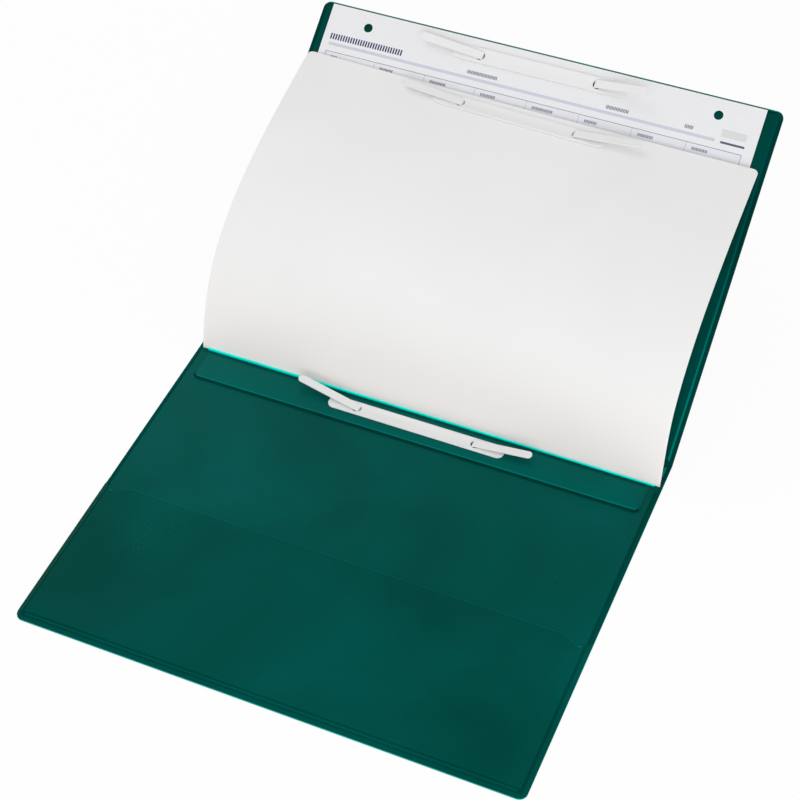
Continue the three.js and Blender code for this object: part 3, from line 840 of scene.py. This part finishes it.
deselect_all()
bpy.ops.mesh.primitive_plane_add(size=1, location=(0, 0, 0))
sheet = bpy.context.object
sheet.name = "form_sheet_paper"
sheet.scale = (SHEET_WIDTH, SHEET_DEPTH, 1)
sheet.location = (0, SHEET_TOP - SHEET_DEPTH / 2, 0)
bpy.ops.object.transform_apply(location=True, rotation=True, scale=True)
bpy.ops.object.mode_set(mode="EDIT")
print_rows = (HEADING, *TOP_LABELS, *column_labels)
print_fields = (BAND, BLOCK, SMALL_BLOCK, (TABLE_LEFT, TABLE_RIGHT, TABLE_END, TABLE_TOP + RULE))
print_x = [edge for row in print_rows for mark in marks(row) for edge in mark]
print_x += [edge for field in print_fields for edge in field[:2]]
for column in table_columns:
    print_x += [column, column + LINE]
print_v = {edge for row in print_rows for edge in row[2:4]}
print_v |= {edge for field in print_fields for edge in field[2:]}
print_v |= {TABLE_TOP, TABLE_HEAD, TABLE_END + LINE}
cut([place * MM for place in print_x], (1, 0, 0))
cut([place * MM for place in sorted(print_v)], (0, 1, 0))
cut(evenly(SHEET_TOP - SHEET_DEPTH, SHEET_TOP, SHEET_PLACES)[1:-1], (0, 1, 0))
bpy.ops.object.mode_set(mode="OBJECT")


def paper_ink(name, colour):
    finish = bpy.data.materials.new("form_" + name)
    finish.use_nodes = True
    tree = finish.node_tree
    shader = tree.nodes["Principled BSDF"]
    place = tree.nodes.new("ShaderNodeTexCoord").outputs["Object"]
    fibre = noise(tree, place, 700, 5)
    shade = remap(tree, fibre, 0.3, 0.7, 0, 1)
    darker = tuple(0.965 * channel for channel in colour)
    tree.links.new(blend_colours(tree, shade, darker, colour), shader.inputs["Base Color"])
    tree.links.new(raise_by(tree, fibre, 0.012 * MM), shader.inputs["Normal"])
    shader.inputs["Roughness"].default_value = 0.88
    shader.inputs["Specular IOR Level"].default_value = 0.25
    return finish


ink_names = list(PAPER_INK)
for ink_name in ink_names:
    sheet.data.materials.append(paper_ink(ink_name, PAPER_INK[ink_name]))
for face in sheet.data.polygons:
    face.material_index = ink_names.index(ink_at(face.center.x / MM, face.center.y / MM))
thicken(sheet, SHEET_THICKNESS, edge=0, offset=1)
punch(sheet, [(side * PUNCH_PITCH, PUNCH_LINE, 0) for side in (-1.5, -0.5, 0.5, 1.5)])
for vertex in sheet.data.vertices:
    x, v, height = vertex.co
    from_top = SHEET_TOP - v
    settle = SHEET_SETTLE * eased(abs(v - PUNCH_LINE) / (30 * MM) - 0.15) * eased(from_top / (12 * MM))
    lift = SHEET_LIFT * eased((abs(x) - 0.3 * SHEET_WIDTH) / (0.2 * SHEET_WIDTH))
    height = SHEET_HEIGHT + height - settle - lift * eased(from_top / (20 * MM))
    vertex.co = slanted(x + SHEET_X, v, height)
bpy.ops.object.shade_smooth_by_angle(angle=math.radians(35))
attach(sheet, "upper_cover")
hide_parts("form_sheet")

# The divider leaf: one white film sheet, welded into the front groove beside the bead.
# It springs up from the spine, arches back and lies with its free edge on the form sheet.
LEAF_THICKNESS = 0.5 * MM
LEAF_WIDTH = 309.2 * MM
LEAF_FOOT_X = -0.2 * MM
LEAF_TOP_X = -1 * MM
LEAF_SETBACK = 37.1 * MM
LEAF_SKEW = 4.2 * MM
LEAF_FLARE = 1.3 * MM
LEAF_FOOT_Y = 1.95 * MM
LEAF_FOOT_ANGLE = math.radians(78.1)
LEAF_FOOT_PULL = 71.1 * MM
LEAF_LANDING_ANGLE = math.radians(24.1)
LEAF_TAIL_PULL = 124.4 * MM
LEAF_CORNER = 3.6 * MM
LEAF_BOW = 1 * MM
LEAF_REST_RISE = 1.2 * MM
LEAF_FLARE_SHARE = 0.3
LEAF_COLUMNS = 150
LEAF_ROWS = 110
LEAF_COLOUR = (0.86, 0.86, 0.855)
# Painted light: the foot's colour is lighter and warmer than the leaf's
LEAF_FOOT_LIGHT_COLOUR = (0.96, 0.9, 0.88)
LEAF_FOOT_REACH = 62 * MM
# Painted highlight and glow on the leaf's cut edges
LEAF_EDGE_HIGHLIGHT_COLOUR = (0.9, 0.92, 0.91)
LEAF_EDGE_GLOW = (0.8, 1, 0.94, 1)
LEAF_EDGE_GLOW_STRENGTH = 0.3
LIGHT_THROUGH = 0.1
leaf_rest_height = panel_top + LEAF_REST_RISE + LAYER_GAP + LEAF_THICKNESS / 2
leaf_foot = Vector((0, front_hinge.y + LEAF_FOOT_Y, flange_top + 2 * LAYER_GAP))
leaf_end = slanted(0, cover_depth - LEAF_SETBACK, leaf_rest_height)
tail_angle = slant - LEAF_LANDING_ANGLE
leaf_out = Vector((0, math.cos(LEAF_FOOT_ANGLE), math.sin(LEAF_FOOT_ANGLE)))
leaf_in = Vector((0, math.cos(tail_angle), math.sin(tail_angle)))
leaf_handles = (
    leaf_foot,
    leaf_foot + LEAF_FOOT_PULL * leaf_out,
    leaf_end - LEAF_TAIL_PULL * leaf_in,
    leaf_end,
)


def leaf_spot(share):
    a, b, c, d = leaf_handles
    rest = 1 - share
    return rest**3 * a + 3 * rest**2 * share * b + 3 * rest * share**2 * c + share**3 * d


def leaf_slope(share):
    a, b, c, d = leaf_handles
    rest = 1 - share
    return 3 * rest**2 * (b - a) + 6 * rest * share * (c - b) + 3 * share**2 * (d - c)


leaf = sheet_grid("divider_leaf_film", LEAF_COLUMNS, LEAF_ROWS)
for vertex in leaf.data.vertices:
    side = vertex.co.x - 0.5
    cut_back = (side + 0.5) * LEAF_SKEW + (1 - 4 * side**2) * LEAF_BOW
    last_share = 1 - cut_back / (3 * LEAF_TAIL_PULL * math.cos(tail_angle))
    share = last_share * toward_far_edge(vertex.co.y)
    spot = leaf_spot(share)
    flat_share = (spot.y - leaf_foot.y) / (leaf_end.y - leaf_foot.y)
    centre = LEAF_FOOT_X + (LEAF_TOP_X - LEAF_FOOT_X) * flat_share
    to_edge = (leaf_spot(last_share) - spot).length
    half_width = LEAF_WIDTH / 2
    if side > 0:
        half_width += LEAF_FLARE * eased(1 - share / LEAF_FLARE_SHARE)
    if to_edge < LEAF_CORNER:
        half_width -= LEAF_CORNER - math.sqrt(LEAF_CORNER**2 - (LEAF_CORNER - to_edge) ** 2)
    vertex.co = (centre + 2 * side * half_width, spot.y, spot.z)
thicken(leaf, LEAF_THICKNESS, SHEET_ROUNDING, 0)


def white_film(name, colour, roughness, warm_foot=False):
    """White film, satin and a little cloudy. The leaf's foot is painted lighter and warmer, as painted
    light for the light that comes through it.
    """
    finish = bpy.data.materials.new(name)
    finish.use_nodes = True
    tree = finish.node_tree
    shader = tree.nodes["Principled BSDF"]
    place = tree.nodes.new("ShaderNodeTexCoord").outputs["Object"]
    cloud = remap(tree, noise(tree, place, 12, 3, 0.4), 0.3, 0.7, 0, 1)
    darker = tuple(0.97 * channel for channel in colour)
    colour_out = blend_colours(tree, cloud, darker, colour)
    if warm_foot:
        split = tree.nodes.new("ShaderNodeSeparateXYZ")
        tree.links.new(place, split.inputs[0])
        near_foot = remap(tree, split.outputs["Z"], 0, LEAF_FOOT_REACH, 1, 0)
        colour_out = blend_colours(tree, near_foot, colour_out, LEAF_FOOT_LIGHT_COLOUR)
    tree.links.new(colour_out, shader.inputs["Base Color"])
    fine = noise(tree, place, 500, 4)
    rough = remap(tree, fine, 0.3, 0.7, roughness - 0.05, roughness + 0.05)
    tree.links.new(rough, shader.inputs["Roughness"])
    broad = raise_by(tree, noise(tree, place, 7, 2, 0.2), 1.5 * MM)
    tree.links.new(raise_by(tree, fine, 0.006 * MM, broad), shader.inputs["Normal"])
    shader.inputs["Specular IOR Level"].default_value = 0.3
    shader.inputs["Subsurface Weight"].default_value = LIGHT_THROUGH
    shader.inputs["Subsurface Radius"].default_value = (1, 1, 0.95)
    shader.inputs["Subsurface Scale"].default_value = 0.8 * MM
    return finish


leaf.data.materials.append(white_film("white_leaf_film", LEAF_COLOUR, 0.5, warm_foot=True))
# The leaf's cut edges are painted lighter and glow a little, as a painted highlight
leaf_edge_highlight = white_film("white_leaf_edge", LEAF_EDGE_HIGHLIGHT_COLOUR, 0.5)
leaf_edge_shader = leaf_edge_highlight.node_tree.nodes["Principled BSDF"]
leaf_edge_shader.inputs["Emission Color"].default_value = LEAF_EDGE_GLOW
leaf_edge_shader.inputs["Emission Strength"].default_value = LEAF_EDGE_GLOW_STRENGTH
give_faces(leaf, leaf_edge_highlight, lambda face: abs(face.normal.x) > 0.5)

# Two holes for the leaf's own fastener, which sits a little askew
LEAF_FASTENER_X = -2.7 * MM
LEAF_FASTENER_EDGE = 12.9 * MM
LEAF_FASTENER_SKEW = math.radians(1.6)
fastener_share = 1 - LEAF_FASTENER_EDGE / (3 * LEAF_TAIL_PULL)
leaf_fastener_spot = leaf_spot(fastener_share)
leaf_fastener_slope = leaf_slope(fastener_share)
leaf_fastener_turn = math.atan2(leaf_fastener_slope.z, leaf_fastener_slope.y)
leaf_fastener_place = (
    Matrix.Translation(leaf_fastener_spot + Vector((LEAF_FASTENER_X, 0, 0)))
    @ Matrix.Rotation(leaf_fastener_turn, 4, "X")
    @ Matrix.Rotation(-LEAF_FASTENER_SKEW, 4, "Z")
)
leaf_holes = [leaf_fastener_place @ Vector((side * PUNCH_PITCH / 2, 0, 0)) for side in (-1, 1)]
punch(leaf, leaf_holes, leaf_fastener_turn)
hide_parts("divider_leaf")
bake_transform(leaf)

# The filing fasteners: white plastic, one each on the filing strip, the form sheet and the leaf.
# Each is a flat base strip whose two tongues rise through the holes and fold out over a loose bar.
BAR_LENGTH = 118 * MM
BAR_WIDTH = 10 * MM
BAR_THICKNESS = 1.2 * MM
BAR_CORNER = 4 * MM
BAR_ROUNDING = 0.3 * MM
TONGUE_WIDTH = 5.4 * MM
TONGUE_THICKNESS = 0.7 * MM
TONGUE_ROUNDING = 0.2 * MM
BEND_RADIUS = 1.1 * MM
BASE_END = 12 * MM
BASE_WIDTH = 9 * MM
BASE_CORNER = 2 * MM
RISER_WIDTH = 4.4 * MM
UPPER_BASE_DROP = 0.5 * MM
FASTENER_COLOUR = (0.81, 0.815, 0.81)
# Left and right tongue: its reach and the height of its tip in millimetres, and its swing in degrees
FASTENERS = {
    "lower": {
        "body": "lower_cover",
        "bar_bottom": strip_high + LAYER_GAP - strip_low,
        "place": Matrix.Translation((
            LOWER_FASTENER_X, front_hinge.y - LOWER_FASTENER_DISTANCE, strip_low,
        )),
        "left": (43.6, 4.2, 8.4),
        "right": (37, 3.2, 2.2),
    },
    "upper": {
        "body": "upper_cover",
        "bar_bottom": RIDGE_RISE + SHEET_THICKNESS + 2 * LAYER_GAP + UPPER_BASE_DROP,
        "place": (
            Matrix.Translation(slanted(SHEET_X, PUNCH_LINE, panel_top - UPPER_BASE_DROP))
            @ Matrix.Rotation(slant, 4, "X")
        ),
        "left": (42.5, 2.4, 4),
        "right": (36.5, 10.2, 0.2),
    },
    "leaf": {
        "body": "upper_cover",
        "bar_bottom": TONGUE_THICKNESS + LEAF_THICKNESS + 2 * LAYER_GAP,
        "place": leaf_fastener_place @ Matrix.Translation((
            0, 0, -(LEAF_THICKNESS / 2 + LAYER_GAP + TONGUE_THICKNESS),
        )),
        "left": (41.2, 2, 2.5),
        "right": (43.2, 4.4, 2.9),
    },
}
fastener_plastic = white_film("white_fastener_plastic", FASTENER_COLOUR, 0.36)


def fastener_bar(name, bottom):
    """The loose bar with its two round holes."""
    half = BAR_LENGTH / 2
    bar = block(name, (-half, -BAR_WIDTH / 2, bottom), (half, BAR_WIDTH / 2, bottom + BAR_THICKNESS))
    choose(bar, "EDGE", upright)
    bpy.ops.mesh.bevel(offset=BAR_CORNER, segments=7, affect="EDGES")
    smooth()
    punch(bar, [(side * PUNCH_PITCH / 2, 0, bottom) for side in (-1, 1)])
    bpy.ops.object.mode_set(mode="EDIT")
    choose(bar, "EDGE", lambda edge: sharp(edge, 50))
    bpy.ops.mesh.bevel(offset=BAR_ROUNDING, segments=3, affect="EDGES")
    smooth()
    return bar


def tongue_strip(name, bottom, bends):
    """The base strip with both tongues, as one bent strip of even thickness."""
    half = PUNCH_PITCH / 2
    base = block(
        name,
        (-half - BASE_END, -BASE_WIDTH / 2, 0),
        (half + BASE_END, BASE_WIDTH / 2, TONGUE_THICKNESS),
    )
    choose(base, "EDGE", upright)
    bpy.ops.mesh.bevel(offset=BASE_CORNER, segments=4, affect="EDGES")
    smooth()
    pieces = [base]
    for side, (reach, lift, swing) in bends:
        flap = sheet_grid(f"{name}_flap", 60, 10)
        start = bottom + BAR_THICKNESS + LAYER_GAP + TONGUE_THICKNESS / 2
        rise = math.asin(lift / reach)
        upright_length = start - BEND_RADIUS
        bend_angle = math.pi / 2 - rise
        bend_length = BEND_RADIUS * bend_angle
        outward_length = reach * MM - BEND_RADIUS + ROOT_SHIFT
        whole = upright_length + bend_length + outward_length
        tip = TONGUE_WIDTH / 2
        for vertex in flap.data.vertices:
            along = vertex.co.x * whole
            across = (vertex.co.y - 0.5) * TONGUE_WIDTH
            left = whole - along
            if left < tip:
                across *= math.sqrt(max(1 - ((tip - left) / tip) ** 2, 0.002))
            if along < upright_length:
                across *= RISER_WIDTH / TONGUE_WIDTH
                place = Vector((0, 0, along))
            elif along < upright_length + bend_length:
                angle = (along - upright_length) / BEND_RADIUS
                place = Vector((
                    BEND_RADIUS * (1 - math.cos(angle)),
                    0,
                    upright_length + BEND_RADIUS * math.sin(angle),
                ))
            else:
                further = along - upright_length - bend_length
                place = Vector((
                    BEND_RADIUS * (1 - math.cos(bend_angle)) + further * math.cos(rise),
                    0,
                    upright_length + BEND_RADIUS * math.sin(bend_angle) + further * math.sin(rise),
                ))
            place.y = across
            place.x -= ROOT_SHIFT
            vertex.co = Matrix.Rotation(math.radians(swing), 3, "Z") @ place
            vertex.co.x = side * vertex.co.x + side * half
        if side < 0:
            bpy.ops.object.mode_set(mode="EDIT")
            bpy.ops.mesh.select_all(action="SELECT")
            bpy.ops.mesh.flip_normals()
            bpy.ops.object.mode_set(mode="OBJECT")
        thicken(flap, TONGUE_THICKNESS, TONGUE_ROUNDING, 0)
        pieces.append(flap)
    deselect_all()
    for part in pieces:
        part.select_set(True)
    bpy.context.view_layer.objects.active = base
    bpy.ops.object.join()
    return base


for fastener_name, fastener in FASTENERS.items():
    bar = fastener_bar(f"{fastener_name}_bar", fastener["bar_bottom"])
    strips = tongue_strip(
        f"{fastener_name}_tongues",
        fastener["bar_bottom"],
        ((-1, fastener["left"]), (1, fastener["right"])),
    )
    for piece, node in ((bar, "bar"), (strips, "strip")):
        piece.data.transform(fastener["place"])
        piece.data.materials.append(fastener_plastic)
        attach(piece, fastener["body"])
        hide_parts(f"{fastener_name}_fastener_{node}")
